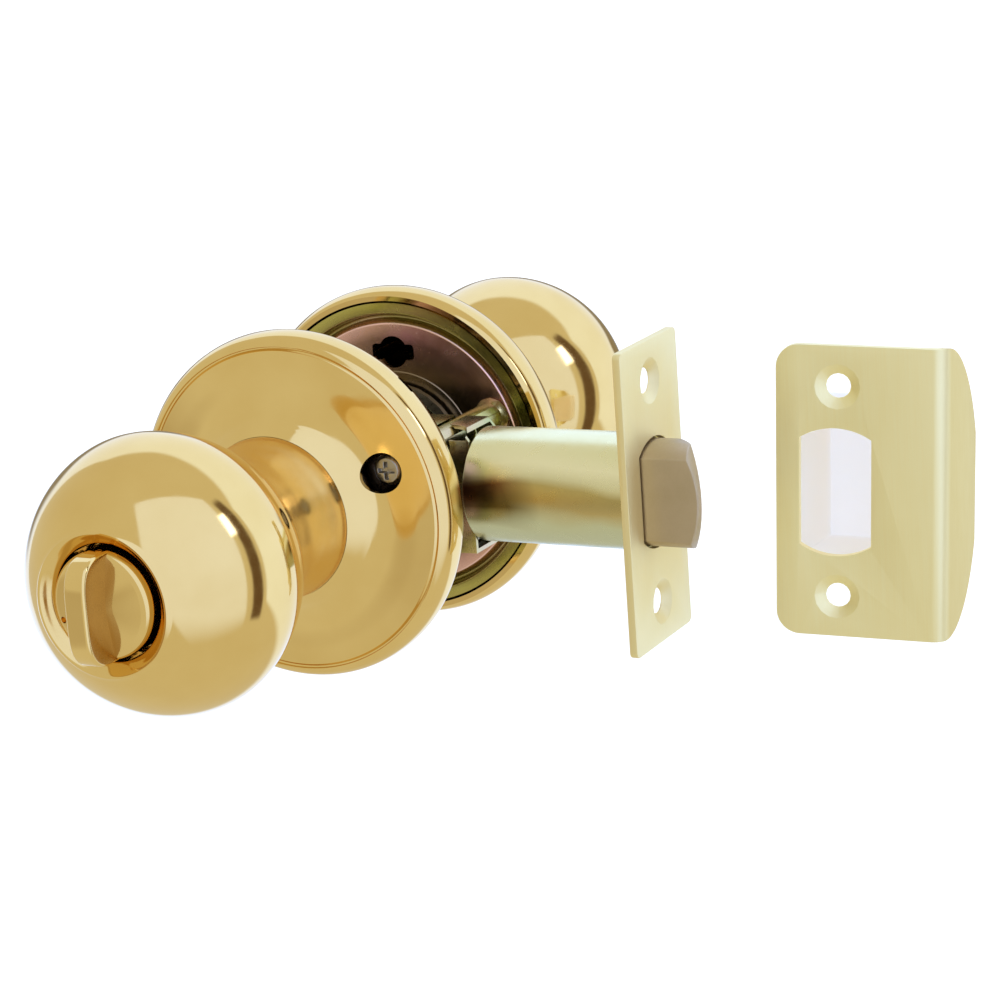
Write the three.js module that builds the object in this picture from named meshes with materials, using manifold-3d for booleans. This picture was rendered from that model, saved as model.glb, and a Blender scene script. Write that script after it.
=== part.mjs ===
// Tubular privacy knobset for a door: two knobs with roses, a spring latch and a full-lip strike.
//
// Units are millimetres and +Z is up. The origin is where the spindle axis (Y) crosses the latch
// axis (X), in the middle of the door. +X runs towards the door's edge and +Y from the inside knob,
// which has the turn button, to the outside knob. A "depth" below is a distance from the middle
// of the door, along the spindle axis. Parts of the inside half are turned half round Z.

import * as THREE from "three";
import { mergeVertices } from "three/addons/utils/BufferGeometryUtils.js";
import Module from "manifold-3d";

const wasm = await Module();
wasm.setup();

// ---- Driving dimensions ------------------------------------------------------------------

const DOOR_THICKNESS = 34.9;
const SEAT = DOOR_THICKNESS / 2; // depth of the door's faces
const GAP = 0.35; // clearance between neighbouring pieces
const CUT = 0.5; // how far a cutting body runs past the material

const ROSE_RADIUS = 33.3;
const ROSE_WALL = 0.9;
const ROSE_HOLE = 15.75;

const KNOB_RADIUS = 25.4;
const KNOB_MIDDLE = 69.4; // depth of the knob's widest circle
const KNOB_FACE_LENGTH = 24.0; // from the widest circle to the tip of the face
const KNOB_FACE_POWER = 1.8;
const KNOB_BACK_LENGTH = 27.0; // from the widest circle to where the back would close
const KNOB_BACK_POWER = 1.65;
const KNOB_WALL = 1.2;
const NECK_END = 30.2; // depth of the neck's inner end, just inside the rose
const NECK_SEAM = 49.0; // depth where the neck meets the ball
const BALL_START = 51.0; // depth from which the back of the ball keeps its curve
const MOUTH_RADIUS = 12.7; // the recess narrows from its mouth like a cone
const RECESS_RADIUS = 10.4;
const RECESS_FLOOR = 80.0; // depth of the recess floor
const RECESS_CONE_END = 87.3; // depth at which the cone ends
const PINHOLE_RADIUS = 1.5;

const BUTTON_RADIUS = 9.7;
const BUTTON_LAND = 91.0; // depth of the land at the foot of the bar
const BUTTON_TIP = 97.1; // depth of the crown of the bar
const BUTTON_BAR = 4.2; // thickness of the bar

const SHANK_OUTER = 12.4;
const SHANK_INNER = 11.2;
const SHANK_START = 15.8;
const SHANK_END = 50.0;
const WEB_START = 44.0; // depths of the shank's web, which the spindle drives
const WEB_END = 46.0;

const SPINDLE_HALF = 3.2; // half the width of the square spindle
const SPINDLE_BORE = 2.2;
const BLADE_WIDTH = 3.4;
const BLADE_THICKNESS = 1.2;

const SCREW_CIRCLE = 22.5; // radius of the circle the two screws stand on
const SCREW_ANGLE = THREE.MathUtils.degToRad(21.7);
const SCREW_RADIUS = 2.0;
const SCREW_HEAD_RADIUS = 3.1;
const SCREW_SEAT = 22.65; // depth of the bosses under the screws' heads
const SCREW_HOLE_IN_ROSE = 3.75;
const POST_RADIUS = 3.0;

const LINER_FACE = 17.75; // depth of the liner's outer band
const LINER_PLATEAU = 18.6; // depth of the liner's centre
const LINER_WALL = 1.0;
const LINER_LAND = 16.5; // radius of the low central land
const LINER_LAND_TOP = 14.4; // height at which the land is cut straight

const PLATE_FRONT = 63.4; // backset: door edge from the spindle axis
const PLATE_WALL = 1.5;
const PLATE_WIDTH = 25.4;
const PLATE_HEIGHT = 57.15;
const PLATE_SCREWS = 42.0; // distance between the faceplate's screw holes
const TUBE_OUTER = 10.9;
const TUBE_INNER = 10.4;
const TUBE_START = 28.7;
const BOLT_RADIUS = 10.0;
const BOLT_HALF_WIDTH = 6.2;
const BOLT_BACK = 51.6;
const TAIL_HEAD = 53.4; // where the retractor's head starts, inside the bolt
const CASE_LEFT = -13.0;
const CASE_RIGHT = 28.3;
const CASE_HALF_WIDTH = 6.0;
const CASE_BOTTOM = -12.3;
const CASE_TOP = 11.5;
const CASE_WALL = 0.8;
const RIVET_PLACES = [[-10.0, 8.5], [11.0, 8.5]];

const KNOB_TURN = THREE.MathUtils.degToRad(72); // full turn of the knobs, one way
const HUB_ARM = 9.2; // radius at which the hub's arm pulls
const BOLT_THROW = 2 * HUB_ARM * Math.sin(KNOB_TURN / 2);
const BOLT_TIP = PLATE_FRONT + BOLT_THROW;

const STRIKE_HEIGHT = 57.15;
const STRIKE_FLAT = 30.0; // width of the flat part, up to the bend
const STRIKE_WALL = 1.5;
const STRIKE_BEND = 3.0; // outer radius of the bend
const STRIKE_FOLD = THREE.MathUtils.degToRad(65); // angle between the flat part and the lip
const STRIKE_LIP = 9.0; // length of the lip past the bend
const STRIKE_SCREWS = 41.3;
const STRIKE_PLACE = new THREE.Vector3(75.2, 29.4, -6.55); // middle of its free edge
const STRIKE_TURN = THREE.MathUtils.degToRad(8.3);
const STRIKE_LEAN = THREE.MathUtils.degToRad(2.55);
const STRIKE_MIDDLE = 11.45; // from the free edge to the middle of the opening
const BOX_DEPTH = 16.0; // inside depth of the dust box
const BOX_SIDES = [4.0, 23.2]; // its inside walls at the front, from the strike's free edge
const BOX_HALF_HEIGHT = 13.6;

const ROUND = 32; // sides of the large turned parts
const SMALL = 12; // sides of the small turned parts

// ---- Materials ---------------------------------------------------------------------------

const metal = (color, roughness) => new THREE.MeshStandardMaterial({ color, roughness, metalness: 1 });
const polishedBrass = metal(0xd2ab58, 0.12);
const satinBrass = metal(0xe0d296, 0.35);
const yellowZinc = metal(0xb5a05c, 0.3);
const steel = metal(0x9a958c, 0.35);
const boltMetal = metal(0xa58d6b, 0.4);
const dustPlastic = new THREE.MeshStandardMaterial({ color: 0xeee6e2, roughness: 0.6, metalness: 0 });

// ---- Solids ------------------------------------------------------------------------------

function toSolid(geometry) {
  const bare = geometry.clone();
  bare.deleteAttribute("normal");
  bare.deleteAttribute("uv");
  const merged = mergeVertices(bare, 1e-4);
  const vertProperties = new Float32Array(merged.attributes.position.array);
  const triVerts = new Uint32Array(merged.index.array);
  return new wasm.Manifold(new wasm.Mesh({ numProp: 3, vertProperties, triVerts }));
}

function toGeometry(solid) {
  const mesh = solid.getMesh();
  const geometry = new THREE.BufferGeometry();
  geometry.setAttribute("position", new THREE.BufferAttribute(new Float32Array(mesh.vertProperties), 3));
  geometry.setIndex(new THREE.BufferAttribute(new Uint32Array(mesh.triVerts), 1));
  const flat = geometry.toNonIndexed();
  flat.computeVertexNormals();
  return flat;
}

function cut(geometry, ...tools) {
  return toGeometry(tools.reduce((solid, tool) => solid.subtract(toSolid(tool)), toSolid(geometry)));
}

function join(geometry, ...others) {
  return toGeometry(others.reduce((solid, other) => solid.add(toSolid(other)), toSolid(geometry)));
}

function common(geometry, other) {
  return toGeometry(toSolid(geometry).intersect(toSolid(other)));
}

// A box from its lowest to its highest corner.
function block(low, high) {
  const geometry = new THREE.BoxGeometry(high[0] - low[0], high[1] - low[1], high[2] - low[2]);
  return geometry.translate((low[0] + high[0]) / 2, (low[1] + high[1]) / 2, (low[2] + high[2]) / 2);
}

// A cylinder along Y, from one depth to another, centred on (x, z).
function rodY(radius, from, to, x = 0, z = 0, sides = SMALL) {
  const geometry = new THREE.CylinderGeometry(radius, radius, to - from, sides);
  return geometry.translate(x, (from + to) / 2, z);
}

// A cylinder, or a cone with two radii, along X and centred on (y, z).
function rodX(radiusFrom, radiusTo, from, to, y = 0, z = 0, sides = SMALL) {
  const geometry = new THREE.CylinderGeometry(radiusFrom, radiusTo, to - from, sides);
  return geometry.rotateZ(Math.PI / 2).translate((from + to) / 2, y, z);
}

// A turned part about Y. The profile is a closed list of [radius, depth].
function turned(profile, sides = ROUND) {
  const points = profile.map(([radius, depth]) => new THREE.Vector2(radius, depth));
  const onAxis = profile[0][0] === 0 && profile[profile.length - 1][0] === 0;
  if (!onAxis) {
    points.push(points[0].clone());
  }
  const area = THREE.ShapeUtils.area(points);
  return new THREE.LatheGeometry(area < 0 ? points.reverse() : points, sides);
}

// A plate of the given thickness in the XZ plane, from depth `from` towards +Y.
function plateXZ(shape, from, thickness, curveSegments = 6) {
  const settings = { depth: thickness, bevelEnabled: false, curveSegments };
  const geometry = new THREE.ExtrudeGeometry(shape, settings);
  return geometry.rotateX(Math.PI / 2).translate(0, from + thickness, 0);
}

// A plate in the YZ plane, from x `from` towards +X.
function plateYZ(shape, from, thickness, curveSegments = 6) {
  const settings = { depth: thickness, bevelEnabled: false, curveSegments };
  const geometry = new THREE.ExtrudeGeometry(shape, settings);
  return geometry.rotateX(Math.PI / 2).rotateZ(Math.PI / 2).translate(from, 0, 0);
}

function polygon(points) {
  return new THREE.Shape(points.map(([x, y]) => new THREE.Vector2(x, y)));
}

function roundedRectangle(width, height, radius) {
  const shape = new THREE.Shape();
  const x = width / 2;
  const y = height / 2;
  shape.moveTo(-x + radius, -y);
  shape.lineTo(x - radius, -y);
  shape.absarc(x - radius, -y + radius, radius, -Math.PI / 2, 0, false);
  shape.lineTo(x, y - radius);
  shape.absarc(x - radius, y - radius, radius, 0, Math.PI / 2, false);
  shape.lineTo(-x + radius, y);
  shape.absarc(-x + radius, y - radius, radius, Math.PI / 2, Math.PI, false);
  shape.lineTo(-x, -y + radius);
  shape.absarc(-x + radius, -y + radius, radius, Math.PI, 1.5 * Math.PI, false);
  return shape;
}

// A circle with its left and right sides cut straight.
function flattedCircle(radius, halfWidth, middle = 0) {
  const shape = new THREE.Shape();
  const corner = Math.acos(halfWidth / radius);
  shape.absarc(middle, 0, radius, corner, Math.PI - corner, false);
  shape.absarc(middle, 0, radius, Math.PI + corner, 2 * Math.PI - corner, false);
  return shape;
}

class Helix extends THREE.Curve {
  constructor(radius, length, turns) {
    super();
    this.radius = radius;
    this.length = length;
    this.turns = turns;
  }

  getPoint(t, target = new THREE.Vector3()) {
    const angle = 2 * Math.PI * this.turns * t;
    const along = this.length * (t - 0.5);
    return target.set(this.radius * Math.cos(angle), along, this.radius * Math.sin(angle));
  }
}

// A coil spring about Y, centred on the origin.
function coil(radius, wireRadius, length, turns) {
  const section = new THREE.Shape();
  section.absarc(0, 0, wireRadius, 0, 2 * Math.PI, false);
  const extrudePath = new Helix(radius, length, turns);
  const steps = Math.round(turns * 12);
  return new THREE.ExtrudeGeometry(section, { steps, curveSegments: 3, extrudePath, bevelEnabled: false });
}

// ---- Scene graph -------------------------------------------------------------------------

const knobset = new THREE.Group();
const insideHalf = new THREE.Group();
insideHalf.rotation.z = Math.PI;
const outsideHalf = new THREE.Group();
knobset.add(insideHalf, outsideHalf);

function piece(name, geometry, material, parent = knobset) {
  const mesh = new THREE.Mesh(geometry, material);
  mesh.name = name;
  parent.add(mesh);
  return mesh;
}

// Where the two screws stand, as [x, z] in the frame of one half. The inside half is turned
// round, so its places are mirrored to stay in line with the outside half's.
function screwPlaces(half) {
  const x = SCREW_CIRCLE * Math.cos(SCREW_ANGLE) * (half === insideHalf ? -1 : 1);
  const z = SCREW_CIRCLE * Math.sin(SCREW_ANGLE);
  return [[x, z], [-x, -z]];
}

// ---- Rose and its liner ------------------------------------------------------------------

function roseGeometry(half) {
  const rim = ROSE_RADIUS;
  const outer = [
    [rim - 1.4, SEAT],
    [rim - 0.6, SEAT + 1.1],
    [rim, SEAT + 3.0],
    [rim - 0.2, SEAT + 5.4],
    [rim - 1.0, SEAT + 7.1],
    [rim - 2.1, SEAT + 8.2],
    [rim - 2.8, SEAT + 7.8],
    [27.0, 25.9],
    [22.0, 26.9],
    [19.0, 28.4],
    [17.2, 30.0],
    [ROSE_HOLE, 31.6],
  ];
  const inner = [
    [ROSE_HOLE, 30.4],
    [18.6, 27.7],
    [22.0, 26.9 - ROSE_WALL],
    [27.0, 25.9 - ROSE_WALL],
    [rim - 2.6, SEAT + 7.0],
    [rim - 1.5, SEAT + 6.4],
    [rim - ROSE_WALL, SEAT + 3.0],
    [rim - 2.0, SEAT + 1.0],
    [rim - 2.35, SEAT],
  ];
  const shell = turned([...outer, ...inner]);
  if (half === outsideHalf) {
    return shell;
  }
  const holes = screwPlaces(half).map(([x, z]) => rodY(SCREW_HOLE_IN_ROSE, 22, 32, x, z, 20));
  return cut(shell, ...holes, pryNotch());
}

// A small window in the rose's rim, where a blade lifts the rose off its liner.
function pryNotch() {
  const halfLength = 1.9;
  const place = THREE.MathUtils.degToRad(-135);
  const low = [ROSE_RADIUS - 2.5, SEAT + 1.3, -halfLength];
  const high = [ROSE_RADIUS + 1, SEAT + 2.9, halfLength];
  return block(low, high).rotateY(place);
}

// The stamping hole near the top of the liner: round, with a lobe at each side.
function lobedHole() {
  const height = 20.5;
  const across = block([-4.4, LINER_FACE, height - 1.5], [4.4, 24, height + 1.5]);
  return join(across, rodY(3.2, LINER_FACE, 24, 0, height, 16));
}

function linerGeometry(half) {
  const back = LINER_PLATEAU + LINER_WALL;
  const bore = SHANK_OUTER + 0.5;
  const profile = [
    [bore, 24.5],
    [bore + LINER_WALL, 24.5],
    [bore + LINER_WALL, back],
    [25.6, back],
    [26.4, 21.2],
    [28.4, 21.2],
    [29.3, LINER_FACE + LINER_WALL],
    [30.5, LINER_FACE + LINER_WALL],
    [30.5, LINER_FACE],
    [28.5, LINER_FACE],
    [27.8, 20.2],
    [27.0, 20.2],
    [26.2, LINER_PLATEAU],
    [bore, LINER_PLATEAU],
  ];
  const land = common(
    rodY(LINER_LAND, LINER_PLATEAU - 0.5, LINER_PLATEAU + 0.3, 0, 0, ROUND),
    block([-20, 0, -20], [20, 30, LINER_LAND_TOP]),
  );
  const landHole = rodY(bore, 0, 26, 0, 0, ROUND);
  let liner = join(turned(profile), cut(land, landHole));
  const places = screwPlaces(half);
  if (half === insideHalf) {
    liner = join(liner, ...places.map(([x, z]) => rodY(3.4, back - 0.3, SCREW_SEAT, x, z)));
  }
  const holes = places.map(([x, z]) => rodY(SCREW_RADIUS + 0.4, 15, 24, x, z));
  return cut(liner, lobedHole(), ...holes);
}

// The round post of the outside liner that takes a screw, with its collar against the liner.
function postGeometry() {
  const start = -8.0;
  const collar = LINER_PLATEAU - GAP;
  const bore = SCREW_RADIUS + GAP;
  return turned([
    [bore, start],
    [POST_RADIUS, start],
    [POST_RADIUS, collar - 1.4],
    [POST_RADIUS + 0.8, collar],
    [bore, collar],
  ], SMALL);
}

// A pan-head screw along Y with its head at the deep end and a cross recess.
function screwGeometry() {
  const seat = SCREW_SEAT + GAP;
  const body = turned([
    [0, -6.0],
    [SCREW_RADIUS - 0.5, -6.0],
    [SCREW_RADIUS, -5.2],
    [SCREW_RADIUS, seat],
    [SCREW_HEAD_RADIUS, seat],
    [SCREW_HEAD_RADIUS, seat + 1.2],
    [SCREW_HEAD_RADIUS * 0.75, seat + 2.0],
    [SCREW_HEAD_RADIUS * 0.4, seat + 2.2],
    [0, seat + 2.2],
  ], SMALL);
  const slot = block([-1.7, seat + 0.9, -0.4], [1.7, seat + 3, 0.4]);
  return cut(body, slot, slot.clone().rotateY(Math.PI / 2));
}

function returnSpring() {
  const geometry = coil(14.95, 0.55, 2.6, 2.5);
  return geometry.translate(0, 22.2, 0);
}

// ---- Knob and its shank ------------------------------------------------------------------

// Radius of the knob's ball at a depth, for a skin `inset` below the outer one.
function ballRadius(depth, inset) {
  const outwards = depth > KNOB_MIDDLE;
  const length = (outwards ? KNOB_FACE_LENGTH : KNOB_BACK_LENGTH) - inset;
  const power = outwards ? KNOB_FACE_POWER : KNOB_BACK_POWER;
  const share = Math.min(Math.abs(depth - KNOB_MIDDLE) / length, 1);
  return (KNOB_RADIUS - inset) * (1 - share ** power) ** (1 / power);
}

// Depth at which the knob's face reaches a radius.
function faceDepth(radius, inset) {
  const share = (1 - (radius / (KNOB_RADIUS - inset)) ** KNOB_FACE_POWER) ** (1 / KNOB_FACE_POWER);
  return KNOB_MIDDLE + (KNOB_FACE_LENGTH - inset) * share;
}

// The waisted sleeve between the rose and the ball.
function neckGeometry() {
  const outer = [
    [15.4, NECK_END],
    [15.4, 33.0],
    [14.6, 37.0],
    [14.2, 41.5],
    [15.0, 46.5],
    [15.5, NECK_SEAM],
  ];
  const inner = outer.map(([radius, depth]) => [radius - KNOB_WALL, depth]).reverse();
  return turned([...outer, ...inner]);
}

// The ball from the neck to the given radius on the face.
function ballProfile(inset, lastRadius) {
  const steps = inset > 0 ? 7 : 10;
  const end = faceDepth(lastRadius, inset);
  const startRadius = ballRadius(BALL_START, inset);
  const profile = [[startRadius - 0.45, NECK_SEAM + GAP]];
  for (let step = 0; step <= steps; step += 1) {
    const angle = (Math.PI * step) / steps;
    const depth = THREE.MathUtils.lerp(BALL_START, end, (1 - Math.cos(angle)) / 2);
    profile.push([ballRadius(depth, inset), depth]);
  }
  profile[profile.length - 1][0] = lastRadius;
  return profile;
}

function insideShell() {
  const wall = KNOB_WALL;
  const stem = 4.0;
  const cup = [
    [MOUTH_RADIUS - 0.4, faceDepth(MOUTH_RADIUS, 0) - 0.15],
    [RECESS_RADIUS, RECESS_CONE_END],
    [RECESS_RADIUS, RECESS_FLOOR],
    [stem, RECESS_FLOOR],
    [stem, RECESS_FLOOR - wall],
    [RECESS_RADIUS + wall, RECESS_FLOOR - wall],
    [RECESS_RADIUS + wall, RECESS_CONE_END - 0.6],
  ];
  const inner = ballProfile(wall, MOUTH_RADIUS + 1.0).reverse();
  return turned([...ballProfile(0, MOUTH_RADIUS), ...cup, ...inner]);
}

function outsideShell() {
  const wall = KNOB_WALL;
  const outer = [...ballProfile(0, 9.0), [5.0, faceDepth(5.0, 0)]];
  const hole = [0, wall].map((inset) => [PINHOLE_RADIUS, faceDepth(PINHOLE_RADIUS, inset)]);
  const inner = [...ballProfile(wall, 9.0), [5.0, faceDepth(5.0, wall)]].reverse();
  return turned([...outer, ...hole, ...inner]);
}

// The steel tube in the neck. A web across it has a square hole for the spindle.
function shankGeometry() {
  const tube = turned([
    [SHANK_OUTER, SHANK_START],
    [SHANK_OUTER, SHANK_END],
    [SHANK_INNER, SHANK_END],
    [SHANK_INNER, WEB_END],
    [2.0, WEB_END],
    [2.0, WEB_START],
    [SHANK_INNER, WEB_START],
    [SHANK_INNER, SHANK_START],
  ]);
  const half = SPINDLE_HALF + GAP;
  return cut(tube, block([-half, WEB_START - CUT, -half], [half, WEB_END + CUT, half]));
}

// The open ring that holds the shank in the liner.
function ringGeometry() {
  const [inner, outer] = [SHANK_OUTER + GAP, 14.6];
  const [start, end] = [16.4, 17.6];
  const ring = turned([[inner, start], [outer, start], [outer, end], [inner, end]]);
  return cut(ring, block([-1.6, start - CUT, inner - 1], [1.6, end + CUT, outer + 1]));
}

// ---- Turn button -------------------------------------------------------------------------

// Outline of the bar seen from its side, as [depth, z]. Its ends are rounded off.
function crownOutline() {
  const steps = 24;
  const foot = BUTTON_LAND - 6;
  const outline = [[foot, -BUTTON_RADIUS], [foot, BUTTON_RADIUS]];
  for (let step = 0; step <= steps; step += 1) {
    const share = Math.cos((Math.PI * step) / steps);
    const rise = (1 - Math.abs(share) ** 4) ** 0.455;
    outline.push([BUTTON_LAND + (BUTTON_TIP - BUTTON_LAND) * rise, BUTTON_RADIUS * share]);
  }
  return polygon(outline);
}

// A round button with an upright bar across it. The lands beside the bar fall away to a round
// rim, and one of them has a small pit.
function buttonGeometry() {
  const [rim, bar] = [BUTTON_RADIUS, BUTTON_BAR / 2];
  const back = RECESS_FLOOR + 0.6;
  const body = turned([
    [0, back],
    [rim, back],
    [rim, BUTTON_LAND - 2.9],
    [rim - 0.2, BUTTON_LAND - 2.05],
    [rim - 0.7, BUTTON_LAND - 1.5],
    [rim - 1.5, BUTTON_LAND - 1.2],
    [bar, BUTTON_LAND],
    [0, BUTTON_LAND],
  ]);
  const plate = plateYZ(crownOutline(), -bar, BUTTON_BAR);
  const upright = common(plate, rodY(rim, back, BUTTON_TIP, 0, 0, ROUND));
  const stem = rodY(3.4, 76.0, back + CUT, 0, 0, 16);
  const pit = rodY(0.6, BUTTON_LAND - 3.4, BUTTON_LAND, 7.6, -2.8);
  return cut(join(body, upright, stem), pit);
}

// The flat blade that the button turns, through the spindle to the outside knob's pinhole.
function bladeGeometry() {
  const [x, z] = [BLADE_THICKNESS / 2, BLADE_WIDTH / 2];
  return block([-x, -84.0, -z], [x, 75.6, z]);
}

// ---- Spindle and hub ---------------------------------------------------------------------

function spindleGeometry() {
  const half = SPINDLE_HALF;
  return cut(block([-half, -WEB_END, -half], [half, WEB_END, half]), rodY(SPINDLE_BORE, -50, 50));
}

// The hub's arm starts half the knob's turn ahead of straight down and ends half behind it.
function hubGeometry() {
  const boss = rodY(6.2, -6.4, 6.4, 0, 0, 24);
  const disc = rodY(7.2, -3.6, 3.6, 0, 0, 24);
  const armHalf = 1.4;
  const arm = block([-armHalf, -3.6, -HUB_ARM], [armHalf, 3.6, 0]);
  const tip = rodY(armHalf, -3.6, 3.6, 0, -HUB_ARM, 12);
  const lever = join(arm, tip).rotateY(-KNOB_TURN / 2);
  const half = SPINDLE_HALF + GAP;
  return cut(join(boss, disc, lever), block([-half, -8, -half], [half, 8, half]));
}

// ---- Latch -------------------------------------------------------------------------------

// The sheet box that carries the hub. Windows let the hub's bosses and one screw post through,
// and a round mouth is cut in the near edge of its top.
function caseGeometry() {
  const [w, top, bottom, wall] = [CASE_HALF_WIDTH, CASE_TOP, CASE_BOTTOM, CASE_WALL];
  const right = CASE_RIGHT + CUT;
  const box = block([CASE_LEFT, -w, bottom], [CASE_RIGHT, w, top]);
  const inside = block([CASE_LEFT + wall, -w + wall, bottom + wall], [right, w - wall, top - wall]);
  const window = rodY(6.6, -w - CUT, w + CUT, 0, 0, 24);
  const [x, z] = screwPlaces(outsideHalf)[0];
  const passage = rodY(POST_RADIUS + GAP, -w - CUT, w + CUT, x, z, 20);
  const mouth = new THREE.CylinderGeometry(1, 1, 4, 20);
  mouth.rotateX(Math.PI / 2).scale(5.2, 4.6, 1).translate(x + 1.5, -w, top);
  const corner = polygon([[right - 2.5, top + CUT], [right, top - 2.8], [right, top + CUT]]);
  const rivets = RIVET_PLACES.map(([rx, rz]) => rodY(1.75, -w - CUT, w + CUT, rx, rz, 12));
  return cut(box, inside, window, passage, mouth, plateXZ(corner, -w - CUT, 2 * w + 2 * CUT), ...rivets);
}

function rivetGeometry([x, z]) {
  const reach = CASE_HALF_WIDTH + 0.9;
  const head = CASE_HALF_WIDTH + GAP;
  return join(
    rodY(1.4, -reach, reach, x, z, 12),
    rodY(2.2, head, reach, x, z, 12),
    rodY(2.2, -reach, -head, x, z, 12),
  );
}

function tubeGeometry() {
  const end = PLATE_FRONT - PLATE_WALL - GAP;
  const ends = [[TUBE_INNER, TUBE_START], [TUBE_OUTER, TUBE_START], [TUBE_OUTER, end], [TUBE_INNER, end]];
  return turned(ends).rotateZ(-Math.PI / 2);
}

function facePlateGeometry() {
  const back = PLATE_FRONT - PLATE_WALL;
  const plate = plateYZ(roundedRectangle(PLATE_WIDTH, PLATE_HEIGHT, 1.2), back, PLATE_WALL, 3);
  const opening = plateYZ(flattedCircle(BOLT_RADIUS + 0.45, BOLT_HALF_WIDTH + 0.5), back - CUT, 3, 10);
  const holes = [-1, 1].map((side) => screwHoleX(back, PLATE_FRONT, (side * PLATE_SCREWS) / 2));
  return cut(plate, opening, ...holes);
}

// A countersunk hole along X with its wide end at `front`.
function screwHoleX(back, front, z) {
  const wide = 4.2;
  const narrow = 2.4;
  const hole = rodX(narrow, narrow, back - CUT, front + CUT, 0, z, 16);
  return join(hole, rodX(narrow, wide + CUT, back + 0.2, front + CUT / 2, 0, z, 16));
}

// Two rails beside the hub, the lug that the hub's arm pulls, the shoulder that the bolt's
// spring rests on, and the tail to the bolt.
function retractorGeometry() {
  const rail = (y) => block([0.8, y - 0.5, -11.1], [26.0, y + 0.5, -6.7]);
  const lugEnd = HUB_ARM * Math.sin(KNOB_TURN / 2) - 1.4 - 0.45;
  const lug = block([lugEnd - 3.0, -4.9, -11.1], [lugEnd, 4.9, -8.0]);
  const web = block([23.5, -4.9, -11.1], [26.0, 4.9, 2.5]);
  const tail = block([25.5, -0.8, -3.0], [TAIL_HEAD + 1, 0.8, 2.5]);
  const shoulder = block([25.5, -4.5, -5.0], [28.6, 4.5, 2.5]);
  const head = block([TAIL_HEAD, -0.8, -6.0], [TAIL_HEAD + 2, 0.8, 5.5]);
  return join(rail(4.4), rail(-4.4), lug, web, shoulder, tail, head);
}

function boltGeometry() {
  const back = BOLT_BACK;
  const bevel = 2 * BOLT_HALF_WIDTH - 2.0;
  const bar = plateYZ(flattedCircle(BOLT_RADIUS, BOLT_HALF_WIDTH), back, BOLT_TIP - back, 10);
  const wedge = plateXYFrom([
    [BOLT_TIP + 1, BOLT_HALF_WIDTH - bevel - 1],
    [BOLT_TIP + 1, BOLT_HALF_WIDTH + 1],
    [BOLT_TIP - bevel - 1, BOLT_HALF_WIDTH + 1],
  ]);
  const noseRadius = 19.0;
  const nose = rodY(noseRadius, -20, 20, BOLT_TIP - noseRadius, 0, 64);
  const pocket = block([back + 1.5, -1.3, -6.5], [TAIL_HEAD + 2 + BOLT_THROW + 0.5, 1.3, 6.0]);
  const slot = block([back - CUT, -1.3, -3.5], [back + 2, 1.3, 3.0]);
  return cut(common(bar, nose), wedge, pocket, slot);
}

// A tall prism on an outline in the XY plane.
function plateXYFrom(points) {
  const geometry = new THREE.ExtrudeGeometry(polygon(points), { depth: 60, bevelEnabled: false });
  return geometry.translate(0, 0, -30);
}

function boltSpring() {
  const start = 28.95;
  const end = BOLT_BACK - CUT;
  const wire = 0.55;
  const geometry = coil(5.2, wire, end - start - 2 * wire, 6);
  return geometry.rotateZ(-Math.PI / 2).translate((start + end) / 2, 0, 0);
}

// ---- Strike ------------------------------------------------------------------------------

// In the strike's own frame X runs from the free edge to the lip, Y to the back and Z up.
function strikeGeometry() {
  const [wall, bend, top] = [STRIKE_WALL, STRIKE_BEND, STRIKE_HEIGHT / 2];
  const outer = new THREE.Vector2(Math.sin(STRIKE_FOLD), -Math.cos(STRIKE_FOLD)); // out of the lip
  const along = new THREE.Vector2(Math.cos(STRIKE_FOLD), Math.sin(STRIKE_FOLD)).multiplyScalar(STRIKE_LIP);
  const middle = new THREE.Vector2(STRIKE_FLAT, bend);
  const outside = outer.clone().multiplyScalar(bend).add(middle);
  const inside = outer.clone().multiplyScalar(bend - wall).add(middle);
  const section = new THREE.Shape();
  section.moveTo(0, 0);
  section.lineTo(STRIKE_FLAT, 0);
  section.absarc(middle.x, middle.y, bend, -Math.PI / 2, STRIKE_FOLD - Math.PI / 2, false);
  section.lineTo(outside.x + along.x, outside.y + along.y);
  section.lineTo(inside.x + along.x, inside.y + along.y);
  section.lineTo(inside.x, inside.y);
  section.absarc(middle.x, middle.y, bend - wall, STRIKE_FOLD - Math.PI / 2, -Math.PI / 2, true);
  section.lineTo(0, wall);
  const settings = { depth: STRIKE_HEIGHT, bevelEnabled: false, curveSegments: 6 };
  const sheet = new THREE.ExtrudeGeometry(section, settings);
  sheet.translate(0, 0, -top);
  const lipStart = wall;
  const lipEnd = inside.y + along.y;
  const outline = new THREE.Shape();
  outline.moveTo(-CUT, -top);
  outline.lineTo(lipStart, -top);
  outline.absellipse(lipStart, 0, lipEnd - lipStart, top, -Math.PI / 2, Math.PI / 2, false);
  outline.lineTo(-CUT, top);
  const rounded = common(sheet, plateYZ(outline, -5, STRIKE_FLAT + 20, 20));
  const corner = 4.5;
  const front = roundedRectangle(60, STRIKE_HEIGHT, corner);
  const trimmed = common(rounded, plateXZ(front, -1, 30, 5).translate(30, 0, 0));
  const opening = plateXZ(flattedCircle(12.6, 6.95, STRIKE_MIDDLE), -1, 4, 12);
  const holes = [-1, 1].map((side) => screwHoleY(STRIKE_MIDDLE + 0.4, (side * STRIKE_SCREWS) / 2));
  return cut(trimmed, opening, ...holes);
}

// A hole through the strike, countersunk at the front.
function screwHoleY(x, z) {
  const cone = new THREE.CylinderGeometry(2.4, 4.9, STRIKE_WALL, 16);
  cone.translate(x, STRIKE_WALL / 2 - 0.3, z);
  return join(rodY(2.4, -1, STRIKE_WALL + 1, x, z, 16), cone);
}

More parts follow.
